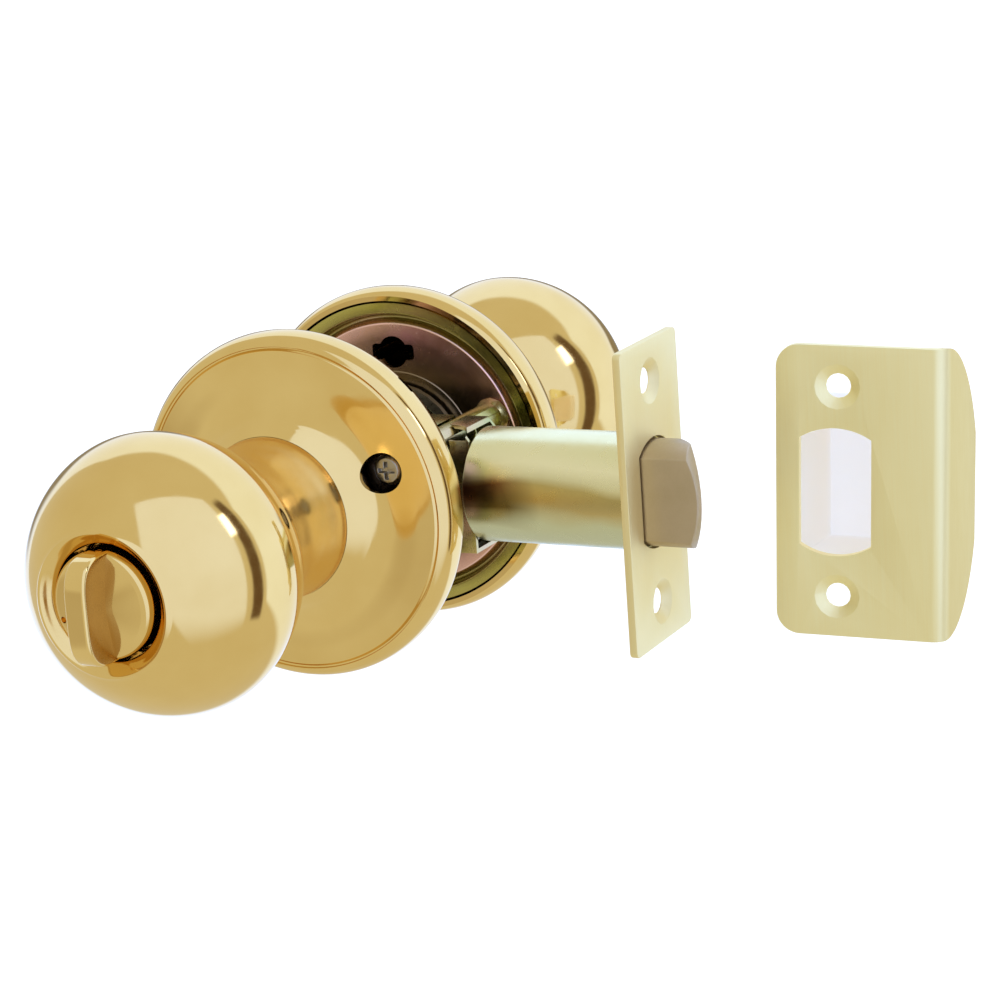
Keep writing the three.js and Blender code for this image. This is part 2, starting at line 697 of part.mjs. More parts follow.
// The dust box narrows towards its back.
function dustBoxGeometry() {
  const front = STRIKE_WALL + GAP;
  const wall = 1.4;
  const [draftLeft, draftRight] = [2.8, 1.0];
  const shell = (grow, start, end) => {
    const [left, right] = [BOX_SIDES[0] - grow, BOX_SIDES[1] + grow];
    const sides = [[left, start], [right, start], [right - draftRight, end], [left + draftLeft, end]];
    const half = BOX_HALF_HEIGHT + grow;
    return common(plateXYFrom(sides), block([left, start, -half], [right, end, half]));
  };
  return cut(shell(wall, front, front + BOX_DEPTH + wall), shell(0, front - CUT, front + BOX_DEPTH));
}

// ---- Assembly ----------------------------------------------------------------------------

const halves = [
  ["inside", insideHalf, insideShell],
  ["outside", outsideHalf, outsideShell],
];
for (const [side, half, shell] of halves) {
  piece(`${side}_rose`, roseGeometry(half), polishedBrass, half);
  piece(`${side}_rose_liner`, linerGeometry(half), yellowZinc, half);
  piece(`${side}_return_spring`, returnSpring(), steel, half);
  piece(`${side}_knob_neck`, neckGeometry(), polishedBrass, half);
  piece(`${side}_knob_shell`, shell(), polishedBrass, half);
  piece(`${side}_knob_shank`, shankGeometry(), yellowZinc, half);
  piece(`${side}_retaining_ring`, ringGeometry(), steel, half);
}

screwPlaces(insideHalf).forEach(([x, z], index) => {
  const screw = piece(`mounting_screw_${index + 1}`, screwGeometry(), steel, insideHalf);
  screw.position.set(x, 0, z);
});
screwPlaces(outsideHalf).forEach(([x, z], index) => {
  const post = piece(`screw_post_${index + 1}`, postGeometry(), yellowZinc, outsideHalf);
  post.position.set(x, 0, z);
});

piece("turn_button", buttonGeometry(), polishedBrass, insideHalf);
piece("locking_blade", bladeGeometry(), steel, insideHalf);
piece("spindle", spindleGeometry(), steel);

const latch = new THREE.Group();
knobset.add(latch);
piece("latch_hub", hubGeometry(), steel, latch);
piece("latch_case", caseGeometry(), yellowZinc, latch);
RIVET_PLACES.forEach((place, index) => piece(`case_rivet_${index + 1}`, rivetGeometry(place), steel, latch));
piece("latch_tube", tubeGeometry(), yellowZinc, latch);
piece("latch_retractor", retractorGeometry(), steel, latch);
piece("latch_bolt", boltGeometry(), boltMetal, latch);
piece("bolt_spring", boltSpring(), steel, latch);
piece("latch_faceplate", facePlateGeometry(), satinBrass, latch);

const strike = new THREE.Group();
strike.position.copy(STRIKE_PLACE);
strike.rotation.set(0, STRIKE_LEAN, STRIKE_TURN, "ZYX");
knobset.add(strike);
piece("strike_plate", strikeGeometry(), satinBrass, strike);
piece("strike_dust_box", dustBoxGeometry(), dustPlastic, strike);

export default knobset;
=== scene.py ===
import math

import bmesh
import bpy
from mathutils import Matrix, Vector


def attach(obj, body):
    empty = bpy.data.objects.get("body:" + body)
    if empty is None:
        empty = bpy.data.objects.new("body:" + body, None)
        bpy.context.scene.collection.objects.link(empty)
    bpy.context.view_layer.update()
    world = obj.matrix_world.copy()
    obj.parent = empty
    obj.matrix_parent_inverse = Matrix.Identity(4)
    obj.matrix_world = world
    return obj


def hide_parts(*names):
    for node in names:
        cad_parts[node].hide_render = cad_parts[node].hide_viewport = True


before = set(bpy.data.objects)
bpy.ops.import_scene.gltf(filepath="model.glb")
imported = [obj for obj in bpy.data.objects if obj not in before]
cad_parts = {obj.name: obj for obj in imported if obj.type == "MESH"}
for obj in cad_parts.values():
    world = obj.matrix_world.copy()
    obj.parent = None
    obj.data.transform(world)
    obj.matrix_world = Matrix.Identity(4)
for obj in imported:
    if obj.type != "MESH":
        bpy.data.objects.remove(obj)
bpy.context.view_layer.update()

MM = 0.001
INSIDE, OUTSIDE = -1, 1  # the sign of Y on each side of the door
SEAT = 17.45  # depth of the door's faces from the middle of the door, in mm

ON_AXIS = 1e-6  # a smaller radius is a point on the axis
SMOOTH_ANGLE = math.radians(32.0)  # edges that turn by more stay sharp
WELD = 0.002  # vertices closer than this are one, in mm
FLAT_ANGLE = math.radians(1.0)  # faces that turn by less are one face
BEVEL_ANGLE = math.radians(30.0)  # edges that turn by more are rounded
MIX_A, MIX_B, MIX_COLOR = 6, 7, 2  # the colour sockets of a mix node


# ---- Meshes ------------------------------------------------------------------------------


def finish_piece(name, bm, body, material, replaced):
    """Makes an object of a mesh given in millimetres, smooth but for its sharp edges."""
    bmesh.ops.transform(bm, matrix=Matrix.Scale(MM, 4), verts=bm.verts)
    bmesh.ops.recalc_face_normals(bm, faces=bm.faces)
    for face in bm.faces:
        face.smooth = True
    for edge in bm.edges:
        edge.smooth = len(edge.link_faces) == 2 and edge.calc_face_angle(0.0) < SMOOTH_ANGLE
    mesh = bpy.data.meshes.new(name)
    bm.to_mesh(mesh)
    bm.free()
    piece = bpy.data.objects.new(name, mesh)
    bpy.context.scene.collection.objects.link(piece)
    piece.data.materials.append(material)
    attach(piece, body)
    for node_name in replaced:
        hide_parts(node_name)
    return piece


def curve_through(points, steps=8):
    """A smooth line through points, by Catmull-Rom."""
    line = []
    last = len(points) - 1
    for i in range(last):
        p0, p1 = Vector(points[max(i - 1, 0)]), Vector(points[i])
        p2, p3 = Vector(points[i + 1]), Vector(points[min(i + 2, last)])
        for step in range(steps):
            t = step / steps
            line.append(
                0.5
                * (
                    2 * p1
                    + (p2 - p0) * t
                    + (2 * p0 - 5 * p1 + 4 * p2 - p3) * t**2
                    + (3 * p1 - p0 - 3 * p2 + p3) * t**3
                )
            )
    line.append(Vector(points[last]))
    return [(v.x, v.y) for v in line]


def turned(profile, side, segments=160):
    """A turned mesh about Y on a closed profile of (radius, depth) in millimetres."""
    bm = bmesh.new()
    rings = []
    for radius, depth in profile:
        if radius < ON_AXIS:
            rings.append([bm.verts.new((0, side * depth, 0))])
            continue
        turn = 2 * math.pi / segments
        ring = []
        for k in range(segments):
            x, z = radius * math.cos(turn * k), radius * math.sin(turn * k)
            ring.append(bm.verts.new((x, side * depth, z)))
        rings.append(ring)
    pairs = list(zip(rings, rings[1:] + rings[:1]))
    for one, two in pairs:
        if len(one) == 1 and len(two) == 1:
            continue
        for k in range(segments):
            n = (k + 1) % segments
            if len(one) == 1:
                bm.faces.new((one[0], two[k], two[n]))
            elif len(two) == 1:
                bm.faces.new((one[k], two[0], one[n]))
            else:
                bm.faces.new((one[k], two[k], two[n], one[n]))
    bmesh.ops.recalc_face_normals(bm, faces=bm.faces)
    return bm


def rod(radius, start, end, segments=64):
    """A closed rod between two points, in millimetres."""
    bm = bmesh.new()
    axis = Vector(end) - Vector(start)
    bmesh.ops.create_cone(
        bm,
        cap_ends=True,
        segments=segments,
        radius1=radius,
        radius2=radius,
        depth=axis.length,
        matrix=Matrix.Translation((Vector(start) + Vector(end)) / 2)
        @ axis.to_track_quat("Z", "Y").to_matrix().to_4x4(),
    )
    return bm


def angles(start, end, steps):
    """Even steps from one angle to another, given in degrees."""
    return [math.radians(start + (end - start) * k / steps) for k in range(steps + 1)]


def boolean(bm, tools, operation="DIFFERENCE"):
    """One mesh with others cut out of it, or joined to it."""
    made = []
    for source in [bm, *tools]:
        mesh = bpy.data.meshes.new("scratch")
        source.to_mesh(mesh)
        source.free()
        scratch = bpy.data.objects.new("scratch", mesh)
        bpy.context.scene.collection.objects.link(scratch)
        made.append(scratch)
    body = made[0]
    for tool in made[1:]:
        modifier = body.modifiers.new("cut", "BOOLEAN")
        modifier.operation = operation
        modifier.solver = "EXACT"
        modifier.object = tool
    shaped = body.evaluated_get(bpy.context.evaluated_depsgraph_get())
    result = bmesh.new()
    result.from_mesh(shaped.to_mesh())
    shaped.to_mesh_clear()
    for scratch in made:
        mesh = scratch.data
        bpy.data.objects.remove(scratch)
        bpy.data.meshes.remove(mesh)
    return result


def rounded(node_name, name, body, material, edge):
    """A piece with the shape of a CAD node and softly rounded edges."""
    bm = bmesh.new()
    bm.from_mesh(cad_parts[node_name].data)
    bmesh.ops.transform(bm, matrix=Matrix.Scale(1 / MM, 4), verts=bm.verts)
    bmesh.ops.remove_doubles(bm, verts=bm.verts, dist=WELD)
    bmesh.ops.dissolve_limit(
        bm, angle_limit=FLAT_ANGLE, verts=bm.verts, edges=bm.edges, delimit={"NORMAL"}
    )
    corners = [
        e for e in bm.edges if len(e.link_faces) == 2 and e.calc_face_angle(0.0) > BEVEL_ANGLE
    ]
    bmesh.ops.bevel(
        bm,
        geom=corners,
        offset=edge,
        offset_type="OFFSET",
        segments=3,
        profile=0.5,
        affect="EDGES",
        clamp_overlap=True,
    )
    return finish_piece(name, bm, body, material, [node_name])


# ---- Materials ---------------------------------------------------------------------------


class Shader:
    """A node material built in short steps."""

    def __init__(self, name):
        self.material = bpy.data.materials.new(name)
        self.material.use_nodes = True
        self.tree = self.material.node_tree
        self.bsdf = self.tree.nodes["Principled BSDF"]
        self.place = self.tree.nodes.new("ShaderNodeTexCoord").outputs["Object"]

    def node(self, kind, inputs=None, **settings):
        made = self.tree.nodes.new(kind)
        for key, value in settings.items():
            setattr(made, key, value)
        for key, value in (inputs or {}).items():
            if isinstance(value, bpy.types.NodeSocket):
                self.tree.links.new(value, made.inputs[key])
            else:
                made.inputs[key].default_value = value
        return made

    def stretched(self, scale):
        return self.node(
            "ShaderNodeMapping", {"Vector": self.place, "Scale": scale}, vector_type="POINT"
        ).outputs["Vector"]

    def noise(self, scale, detail=3.0, roughness=0.5, vector=None, distortion=0.0):
        made = self.node(
            "ShaderNodeTexNoise",
            {
                "Vector": vector or self.place,
                "Scale": scale,
                "Detail": detail,
                "Roughness": roughness,
                "Distortion": distortion,
            },
        )
        return made.outputs["Fac"]

    def math(self, operation, a, b=0.0):
        return self.node("ShaderNodeMath", {0: a, 1: b}, operation=operation).outputs[0]

    def remap(self, value, low, high, start=0.3, end=0.7):
        return self.node(
            "ShaderNodeMapRange",
            {"Value": value, "From Min": start, "From Max": end, "To Min": low, "To Max": high},
        ).outputs["Result"]

    def ramp(self, value, stops):
        made = self.node("ShaderNodeValToRGB", {"Fac": value})
        elements = made.color_ramp.elements
        while len(elements) > 1:
            elements.remove(elements[-1])
        elements[0].position, elements[0].color = stops[0][0], (*stops[0][1], 1)
        for position, color in stops[1:]:
            elements.new(position).color = (*color, 1)
        return made.outputs["Color"]

    def mix(self, factor, a, b):
        made = self.node("ShaderNodeMix", {"Factor": factor}, data_type="RGBA")
        for index, value in ((MIX_A, a), (MIX_B, b)):
            if isinstance(value, bpy.types.NodeSocket):
                self.tree.links.new(value, made.inputs[index])
            else:
                made.inputs[index].default_value = (*value, 1)
        return made.outputs[MIX_COLOR]

    def bump(self, height, distance, normal=None):
        made = self.node(
            "ShaderNodeBump", {"Height": height, "Distance": distance, "Strength": 1.0}
        )
        if normal is not None:
            self.tree.links.new(normal, made.inputs["Normal"])
        return made.outputs["Normal"]

    def set(self, **inputs):
        names = {
            "color": "Base Color",
            "metallic": "Metallic",
            "roughness": "Roughness",
            "normal": "Normal",
        }
        for key, value in inputs.items():
            socket = self.bsdf.inputs[names[key]]
            if isinstance(value, bpy.types.NodeSocket):
                self.tree.links.new(value, socket)
            else:
                socket.default_value = value
        return self.material


def polished_brass_material(
    name, smooth, dull, dark=(0.83, 0.585, 0.215), light=(0.885, 0.645, 0.26)
):
    """Bright brass with faint waves and smears, between a smooth and a dull roughness."""
    s = Shader(name)
    clouds = s.noise(70.0, 3.0)
    smears = s.noise(420.0, 6.0, 0.62)
    waves = s.noise(95.0, 1.5)
    color = s.ramp(clouds, [(0.3, dark), (0.7, light)])
    normal = s.bump(waves, 0.00005)
    return s.set(
        color=color, metallic=1.0, roughness=s.remap(smears, smooth, dull), normal=normal
    )


# The painted shade on the strike's bent lip fades in between these depths.
LIP_BEND = (0.0345, 0.0368)  # the depths in metres where the strike's lip bends


def satin_brass_material(name, dark, light, worn, painted_lip_shade=None):
    """Brass with a fine vertical brush under a dull lacquer, with painted shade darkening a bent
    lip.
    """
    s = Shader(name)
    strokes = s.noise(1.0, 4.0, 0.6, s.stretched((3600.0, 3600.0, 60.0)))
    clouds = s.noise(55.0, 3.0)
    grain = s.noise(2600.0, 2.0)
    color = s.mix(
        s.remap(strokes, 0.0, 0.5),
        s.ramp(clouds, [(0.3, dark), (0.7, light)]),
        worn,
    )
    # Painted shade: the bent lip turns darker past its bend.
    if painted_lip_shade:
        depth = s.node("ShaderNodeSeparateXYZ", {0: s.place}).outputs["Y"]
        color = s.mix(s.remap(depth, 0.0, 1.0, *LIP_BEND), color, painted_lip_shade)
    normal = s.bump(grain, 0.000006, normal=s.bump(strokes, 0.000006))
    return s.set(
        color=color, metallic=1.0, roughness=s.remap(strokes, 0.46, 0.56), normal=normal
    )


def zinc_material():
    """Yellow-passivated zinc: gold with olive, green and pink bands where the film thickens."""
    s = Shader("yellow_zinc")
    film = s.noise(34.0, 2.0, 0.5, distortion=0.6)
    mottling = s.noise(300.0, 5.0, 0.6)
    color = s.ramp(
        s.math("ADD", s.math("MULTIPLY", film, 0.85), s.math("MULTIPLY", mottling, 0.12)),
        [
            (0.22, (0.62, 0.50, 0.24)),
            (0.36, (0.56, 0.52, 0.20)),
            (0.46, (0.50, 0.52, 0.24)),
            (0.54, (0.66, 0.55, 0.30)),
            (0.62, (0.64, 0.44, 0.36)),
            (0.74, (0.52, 0.50, 0.26)),
        ],
    )
    normal = s.bump(mottling, 0.00001)
    return s.set(
        color=color, metallic=1.0, roughness=s.remap(mottling, 0.2, 0.32), normal=normal
    )


def tube_material():
    """The film on the rolled tube, with reflections painted by height and a painted dark
    reflection near its open end.
    """
    s = Shader("yellow_zinc_tube")
    film = s.noise(1.0, 2.0, 0.5, s.stretched((26.0, 70.0, 70.0)), 0.5)
    mottling = s.noise(340.0, 4.0, 0.6)
    parts = s.node("ShaderNodeSeparateXYZ", {0: s.place}).outputs
    wander = s.math("MULTIPLY", s.math("SUBTRACT", film, 0.5), 0.012)
    height = s.math("ADD", parts["Z"], wander)
    # Colours by height paint the tube's reflections over its olive-gold film: a painted highlight
    # near the top and pale painted light along the bottom.
    film_and_painted_reflections = s.ramp(
        s.remap(height, 0.0, 1.0, -0.011, 0.011),
        [
            (0.0, (0.62, 0.66, 0.50)),
            (0.25, (0.66, 0.66, 0.42)),
            (0.42, (0.62, 0.48, 0.20)),
            (0.62, (0.56, 0.46, 0.19)),
            (0.72, (0.80, 0.74, 0.44)),
            (0.86, (0.98, 0.92, 0.60)),
            (1.0, (0.90, 0.86, 0.52)),
        ],
    )
    across = s.math("ABSOLUTE", s.math("ADD", height, 0.0005))
    # A painted dark reflection near the open end, fading along the tube and away from its middle
    # height.
    painted_dark_reflection_mask = s.math(
        "MULTIPLY",
        s.remap(s.math("ADD", parts["X"], wander), 1.0, 0.0, 0.036, 0.043),
        s.remap(across, 1.0, 0.0, 0.003, 0.0065),
    )
    painted_dark_reflection = s.ramp(film, [(0.35, (0.17, 0.13, 0.05)), (0.6, (0.30, 0.12, 0.06))])
    color = s.mix(painted_dark_reflection_mask, film_and_painted_reflections, painted_dark_reflection)
    return s.set(
        color=color,
        metallic=1.0,
        roughness=s.remap(mottling, 0.24, 0.36),
        normal=s.bump(mottling, 0.000008),
    )


def liner_material():
    """The same film on the stamped liner, coloured by radius: film colours at the rim, with
    painted shade in the groove, a painted highlight ring on the shoulder and a painted dark
    reflection over the middle.
    """
    s = Shader("yellow_zinc_liner")
    flat = s.node("ShaderNodeVectorMath", {0: s.place, 1: (1.0, 0.0, 1.0)}, operation="MULTIPLY")
    length = s.node("ShaderNodeVectorMath", {0: flat.outputs[0]}, operation="LENGTH")
    radius = length.outputs["Value"]
    film = s.noise(26.0, 2.0, 0.5, distortion=0.5)
    mottling = s.noise(320.0, 5.0, 0.6)
    spread = s.math("ADD", radius, s.math("MULTIPLY", s.math("SUBTRACT", film, 0.5), 0.008))
    # Inward from the rim: olive film, painted shade in the groove, a pink painted highlight on the
    # shoulder, then a painted dark reflection to the middle.
    color = s.ramp(
        s.remap(spread, 0.0, 1.0, 0.012, 0.032),
        [
            (0.0, (0.28, 0.21, 0.10)),
            (0.35, (0.26, 0.18, 0.12)),
            (0.53, (0.40, 0.24, 0.20)),
            (0.61, (0.74, 0.45, 0.41)),
            (0.70, (0.95, 0.60, 0.54)),
            (0.75, (0.36, 0.30, 0.12)),
            (0.88, (0.60, 0.55, 0.16)),
            (1.0, (0.58, 0.46, 0.16)),
        ],
    )
    normal = s.bump(mottling, 0.00001)
    return s.set(
        color=color, metallic=1.0, roughness=s.remap(mottling, 0.18, 0.3), normal=normal
    )


def steel_material():
    """Plain grey steel of the screws and the inner parts."""
    s = Shader("steel")
    clouds = s.noise(150.0, 3.0)
    grain = s.noise(1800.0, 4.0, 0.6)
    color = s.ramp(clouds, [(0.3, (0.40, 0.37, 0.32)), (0.7, (0.52, 0.48, 0.42))])
    return s.set(
        color=color,
        metallic=1.0,
        roughness=s.remap(grain, 0.26, 0.4),
        normal=s.bump(grain, 0.000008),
    )


def bolt_material():
    """Warm grey cast metal with a fine grain."""
    s = Shader("bolt_metal")
    clouds = s.noise(110.0, 3.0)
    grain = s.noise(2200.0, 4.0, 0.65)
    color = s.ramp(clouds, [(0.3, (0.52, 0.41, 0.26)), (0.7, (0.58, 0.46, 0.31))])
    return s.set(
        color=color,
        metallic=1.0,
        roughness=s.remap(grain, 0.36, 0.5),
        normal=s.bump(grain, 0.00001),
    )


def dust_box_material():
    """Pale plastic that lets light into its thin walls, with a faint painted glow that lightens
    its shaded inside.
    """
    s = Shader("dust_plastic")
    clouds = s.noise(80.0, 3.0)
    grain = s.noise(3200.0, 3.0)
    color = s.ramp(clouds, [(0.3, (0.97, 0.90, 0.83)), (0.7, (0.99, 0.93, 0.86))])
    s.bsdf.inputs["Subsurface Weight"].default_value = 1.0
    s.bsdf.inputs["Subsurface Radius"].default_value = (1.0, 0.9, 0.9)
    s.bsdf.inputs["Subsurface Scale"].default_value = 0.012
    # Painted light: a faint glow that brightens the box's shaded inside.
    s.bsdf.inputs["Emission Color"].default_value = (1.0, 0.93, 0.88, 1)
    s.bsdf.inputs["Emission Strength"].default_value = 0.13
    return s.set(
        color=color,
        metallic=0.0,
        roughness=s.remap(grain, 0.5, 0.65),
        normal=s.bump(grain, 0.000008),
    )


POLISHED_BRASS = polished_brass_material("polished_brass", 0.05, 0.11)
NECK_BRASS = polished_brass_material("polished_brass_neck", 0.2, 0.27)
# The bar's flanks take a darker, browner brass as a painted dark reflection.
PAINTED_REFLECTION_FLANK_BRASS = polished_brass_material(
    "polished_brass_flank_painted_reflection", 0.16, 0.3, (0.46, 0.27, 0.09), (0.52, 0.32, 0.11)
)
SATIN_BRASS = satin_brass_material(
    "satin_brass", (0.94, 0.80, 0.42), (0.96, 0.83, 0.46), (0.98, 0.88, 0.54)
)
# The strike's brass is a lighter copy of the satin brass, as painted light, with painted shade on
# its bent lip.
STRIKE_BRASS = satin_brass_material(
    "satin_brass_strike",
    (0.98, 0.87, 0.48),
    (1.0, 0.90, 0.52),
    (1.0, 0.94, 0.60),
    painted_lip_shade=(0.84, 0.67, 0.28),
)
ZINC = zinc_material()
TUBE = tube_material()
LINER = liner_material()
STEEL = steel_material()
BOLT = bolt_material()
DUST = dust_box_material()


# ---- Roses -------------------------------------------------------------------------------

SCREW_CIRCLE, SCREW_ANGLE = 22.5, math.radians(21.7)
SCREW_X = SCREW_CIRCLE * math.cos(SCREW_ANGLE)
SCREW_Z = SCREW_CIRCLE * math.sin(SCREW_ANGLE)
SCREW_PLACES = [(SCREW_X, SCREW_Z), (-SCREW_X, -SCREW_Z)]
SCREW_HOLE, POST_HOLE = 3.75, 2.4
TURNED_SEGMENTS = 192
NOTCH_OUT, NOTCH_DEPTH = 32.55, -19.55  # the middle of the pry notch
NOTCH_SIZE = (3.5, 1.6, 3.8, 1.0)


def rose_profile():
    """A pressed dish with a rolled rim, a groove inside the rim and a hole for the neck."""
    rim = curve_through(
        [(31.9, SEAT), (32.7, 18.55), (33.3, 20.45), (33.1, 22.85), (32.3, 24.55), (31.2, 25.5)]
    )
    groove = [(31.0, 25.4), (30.85, 25.05), (30.6, 24.95), (30.35, 25.1)]
    face = curve_through(
        [(30.2, 25.28), (27.0, 25.9), (22.0, 26.9), (19.0, 28.4), (17.2, 30.0), (15.5, 31.6)]
    )
    inner = curve_through([(15.5, 30.6), (18.4, 27.9), (22.0, 26.0), (27.0, 25.0), (30.7, 24.3)])
    skirt = curve_through([(31.8, 23.8), (32.4, 20.45), (31.3, 18.45), (30.95, SEAT)], 5)
    return rim + groove + face + inner + skirt


def pry_notch():
    """The small window in the inside rose's rim, up and to the right."""
    box = bmesh.new()
    middle = Matrix.Translation((NOTCH_OUT, NOTCH_DEPTH, 0))
    place = Matrix.Rotation(math.radians(-45), 4, "Y") @ middle
    bmesh.ops.create_cube(box, matrix=place @ Matrix.Diagonal(NOTCH_SIZE))
    bmesh.ops.bevel(box, geom=box.edges[:], offset=0.4, segments=4, profile=0.5, affect="EDGES")
    return box


def make_rose(side, body_name):
    """A rose; the inside one also has the screw holes and the pry notch."""
    bm = turned(rose_profile(), side, TURNED_SEGMENTS)
    if side == INSIDE:
        holes = [rod(SCREW_HOLE, (x, -22, z), (x, -33, z)) for x, z in SCREW_PLACES]
        bm = boolean(bm, holes + [pry_notch()])
    name = f"{body_name}_rose"
    finish_piece(f"{name}_pressed", bm, "fixed", POLISHED_BRASS, [name])


# ---- Knobs -------------------------------------------------------------------------------

KNOB_RADIUS, KNOB_MIDDLE = 25.4, 69.4
KNOB_WALL = 1.2
BALL_START = 51.0  # the depth where the ball meets its collar
FRONT_LENGTH, FRONT_POWER = 24.0, 1.8  # the ball's half towards its face
BACK_LENGTH, BACK_POWER = 27.0, 1.65  # and the half towards the neck
FINE_STEPS = 2000
MOUTH_RADIUS, RECESS_RADIUS, RECESS_FLOOR = 12.7, 10.4, 80.0
RELEASE_HOLE = 1.5


def ball_point(angle, inset=0.0):
    """A point of the knob's ball: -90 degrees at its back, 90 at the tip of the face."""
    length, power = (FRONT_LENGTH, FRONT_POWER) if angle > 0 else (BACK_LENGTH, BACK_POWER)
    depth = (length - inset) * abs(math.sin(angle)) ** (2 / power)
    radius = (KNOB_RADIUS - inset) * math.cos(angle) ** (2 / power)
    return radius, KNOB_MIDDLE + math.copysign(depth, angle)


def ball_line(inset, end_radius, steps):
    """The ball from its seam with the neck to a radius on its face, in even steps."""
    fine = [
        ball_point(math.radians(-90 + 180 * k / FINE_STEPS), inset) for k in range(1, FINE_STEPS)
    ]
    kept = [
        p for p in fine if p[1] > BALL_START and not (p[1] > KNOB_MIDDLE and p[0] < end_radius)
    ]
    lengths = [0.0]
    for one, two in zip(kept, kept[1:]):
        lengths.append(lengths[-1] + math.dist(one, two))
    line = [(kept[0][0] - 0.45, 49.35), (kept[0][0] - 0.3, 50.2)]
    i = 0
    for step in range(steps + 1):
        target = lengths[-1] * step / steps
        while i < len(lengths) - 1 and lengths[i] < target:
            i += 1
        line.append(kept[i])
    return line


def neck_profile():
    """The waisted sleeve between the rose and the ball."""
    points = [(15.4, 30.2), (15.4, 33.0), (14.6, 37.0), (14.2, 41.5), (14.95, 46.5), (15.6, 49.33)]
    line = curve_through(points, 6)
    return line + [(r - KNOB_WALL, d) for r, d in reversed(line)]


def inside_ball_profile():
    """The ball with a rolled mouth and a cup in its face for the button."""
    front = ball_line(0.0, MOUTH_RADIUS + 0.5, 72)
    lip = ball_line(0.0, MOUTH_RADIUS, 72)[-1][1]
    mouth = curve_through(
        [
            (MOUTH_RADIUS + 0.2, lip + 0.05),
            (MOUTH_RADIUS - 0.1, lip - 0.06),
            (MOUTH_RADIUS - 0.4, lip - 0.3),
            (11.6, 88.3),
            (10.9, 87.7),
            (10.5, 87.3),
            (RECESS_RADIUS, 86.9),
        ],
        4,
    )
    cup = [
        (RECESS_RADIUS, RECESS_FLOOR + 0.4),
        (RECESS_RADIUS - 0.4, RECESS_FLOOR),
        (4.0, RECESS_FLOOR),
        (4.0, RECESS_FLOOR - KNOB_WALL),
        (RECESS_RADIUS + KNOB_WALL, RECESS_FLOOR - KNOB_WALL),
        (RECESS_RADIUS + KNOB_WALL, 86.5),
    ]
    back = list(reversed(ball_line(KNOB_WALL, MOUTH_RADIUS + 1.0, 24)))
    return front + mouth + cup + back


def outside_ball_profile():
    """The plain ball with a release hole in the middle of its face."""
    back = list(reversed(ball_line(KNOB_WALL, RELEASE_HOLE, 30)))
    return ball_line(0.0, RELEASE_HOLE, 84) + back


def make_knobs():
    """A neck and a ball on each side of the door."""
    for side, body, profile in (
        (INSIDE, "inside_knob", inside_ball_profile()),
        (OUTSIDE, "outside_knob", outside_ball_profile()),
    ):
        for part, points, material in (
            ("neck", neck_profile(), NECK_BRASS),
            ("shell", profile, POLISHED_BRASS),
        ):
            bm = turned(points, side, TURNED_SEGMENTS)
            name = f"{body}_{part}"
            finish_piece(f"{name}_drawn", bm, body, material, [name])


# ---- Turn button -------------------------------------------------------------------------

BUTTON_RADIUS, BUTTON_BACK, BUTTON_LAND, BUTTON_TIP = 9.7, 80.6, 91.0, 97.1
BAR_HALF = 2.1  # half the width of the upright bar
BAR_FOOT = 6.0  # how far the bar goes down into the button
BAR_STEPS = 96
END_SQUARENESS, END_RISE = 4, 0.455  # the outline of the bar's rounded ends
END_INSET = 0.6  # the share of the edge's rounding that the bar's ends take
# Faces past this are the bar's flanks, which take the painted dark reflection.
BAR_FLANK = 0.97  # how squarely a face looks sideways to be one of the bar's flanks


def bar_disc(half, land, tip, reach, soft):
    """A plate across the button, flat-topped with rounded ends and softened edges."""
    edge = [(soft * (1 - math.cos(a)), soft * (1 - math.sin(a))) for a in angles(15, 90, 5)]
    sections = [(-half, soft)]
    sections += [(-half + x, inset) for x, inset in edge]
    sections += [(half - x, inset) for x, inset in reversed(edge)]
    sections += [(half, soft)]
    bm = bmesh.new()
    loops = []
    for x, inset in sections:
        loop = []
        for k in range(BAR_STEPS + 1):
            share = math.cos(math.pi * k / BAR_STEPS)
            rise = (1 - abs(share) ** END_SQUARENESS) ** END_RISE
            depth = land + (tip - land) * rise - inset
            loop.append(bm.verts.new((x, -depth, (reach - inset * END_INSET) * share)))
        for z in (-reach + inset * END_INSET, reach - inset * END_INSET):
            loop.append(bm.verts.new((x, -(land - BAR_FOOT), z)))
        loops.append(loop)
    for one, two in zip(loops, loops[1:]):
        for k in range(len(one)):
            n = (k + 1) % len(one)
            bm.faces.new((one[k], two[k], two[n], one[n]))
    bm.faces.new(loops[0])
    bm.faces.new(reversed(loops[-1]))
    bmesh.ops.recalc_face_normals(bm, faces=bm.faces)
    return bm


def make_button():
    """A round button with an upright bar, sloping lands beside it and a small pit at its left."""
    back = [
        (0, BUTTON_BACK),
        (BUTTON_RADIUS - 0.2, BUTTON_BACK),
        (BUTTON_RADIUS, BUTTON_BACK + 0.2),
    ]
    rim = curve_through([(BUTTON_RADIUS, 88.1), (9.5, 88.95), (9.0, 89.5), (8.2, 89.8)], 6)
    lands = [(BAR_HALF, BUTTON_LAND), (0, BUTTON_LAND)]
    body = turned(back + rim + lands, INSIDE, 128)
    bar = bar_disc(BAR_HALF, BUTTON_LAND, BUTTON_TIP, BUTTON_RADIUS - 0.05, 0.7)
    stem = rod(3.4, (0, -76.0, 0), (0, -80.8, 0), 48)
    pit = rod(0.6, (-7.6, -92, -2.8), (-7.6, -87.6, -2.8), 24)
    whole = boolean(boolean(body, [bar, stem], "UNION"), [pit])
    button = finish_piece(
        "turn_button_polished", whole, "button", POLISHED_BRASS, ["turn_button"]
    )
    # Faces looking squarely sideways on the bar take the darker brass, a painted dark reflection.
    button.data.materials.append(PAINTED_REFLECTION_FLANK_BRASS)
    for face in button.data.polygons:
        if abs(face.normal.x) > BAR_FLANK and face.center.y < -(BUTTON_LAND - 1.0) * MM:
            face.material_index = 1


